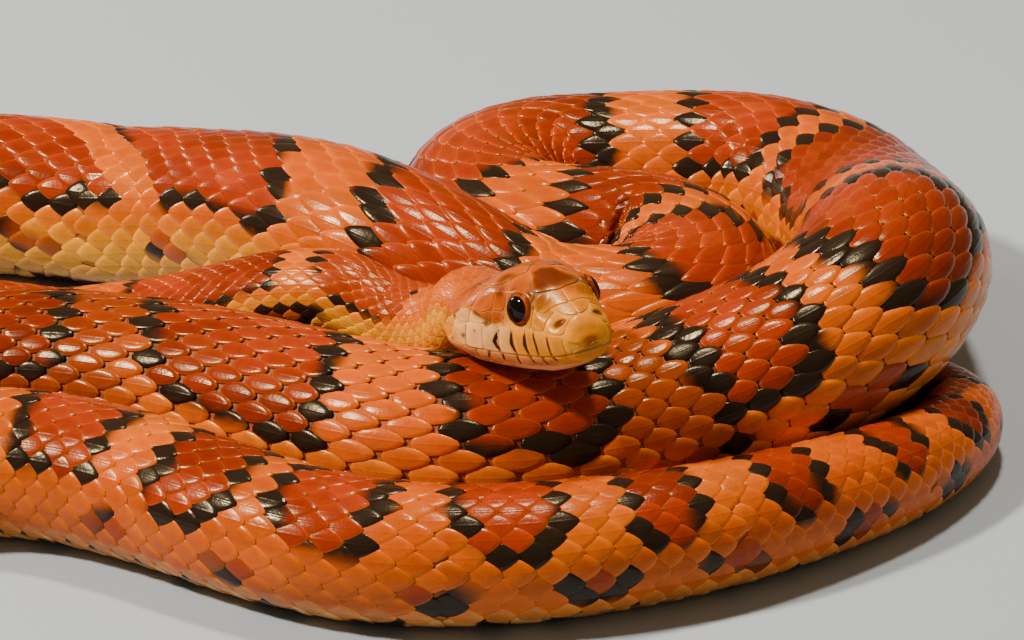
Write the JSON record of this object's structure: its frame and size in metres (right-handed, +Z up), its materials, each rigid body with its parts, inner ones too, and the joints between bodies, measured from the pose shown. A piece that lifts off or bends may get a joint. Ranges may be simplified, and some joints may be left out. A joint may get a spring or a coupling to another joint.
{
  "type": "corn snake",
  "caption": "Life-size still model of a corn snake lying in loose coils on its belly, its head laid over the middle coil and turned to the viewer's right",
  "frame": {"origin": "on the floor under the middle of the coils' bounding box", "axes": "+Z up; +X along the coils' longest side, towards the side that the snout points to; -Y towards the side that the head looks over"},
  "size_m": [0.215, 0.1213, 0.0336],
  "materials": {
    "skin": "satin",
    "eye": "gloss"
  },
  "bodies": {
    "root": {"head": "skin", "eye_left": "eye", "eye_right": "eye", "neck": "skin", "trunk_01": "skin", "trunk_02": "skin", "trunk_03": "skin", "trunk_04": "skin", "trunk_05": "skin", "trunk_06": "skin", "trunk_07": "skin", "trunk_08": "skin", "trunk_09": "skin", "trunk_10": "skin", "trunk_11": "skin", "trunk_12": "skin", "trunk_13": "skin", "trunk_14": "skin", "tail_1": "skin", "tail_2": "skin", "tail_3": "skin"}
  },
  "joints": []
}
